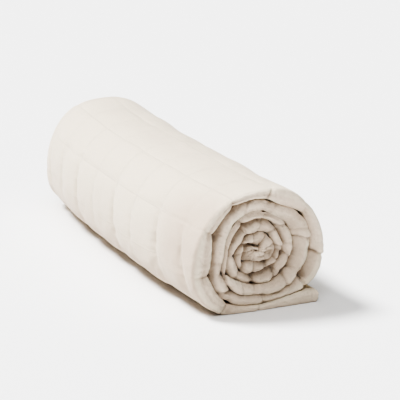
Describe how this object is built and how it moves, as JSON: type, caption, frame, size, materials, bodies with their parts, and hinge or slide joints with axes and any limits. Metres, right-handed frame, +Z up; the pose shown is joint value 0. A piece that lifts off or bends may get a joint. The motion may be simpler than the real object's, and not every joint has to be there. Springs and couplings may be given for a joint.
{
  "type": "weighted blanket",
  "caption": "Quilted cotton weighted blanket folded double and rolled up, resting on its flattened underside with the loose end on the floor.",
  "frame": {"origin": "middle of the roll's box, on the floor that it rests on", "axes": "+Y along the roll from the folded end to the hemmed end, +X towards the loose end on the floor, +Z up"},
  "size_m": [0.2308, 0.635, 0.1868],
  "materials": {
    "cloth": "matt undyed woven cotton, slightly slubbed"
  },
  "bodies": {
    "root": {"blanket_roll": "cloth"}
  },
  "joints": []
}
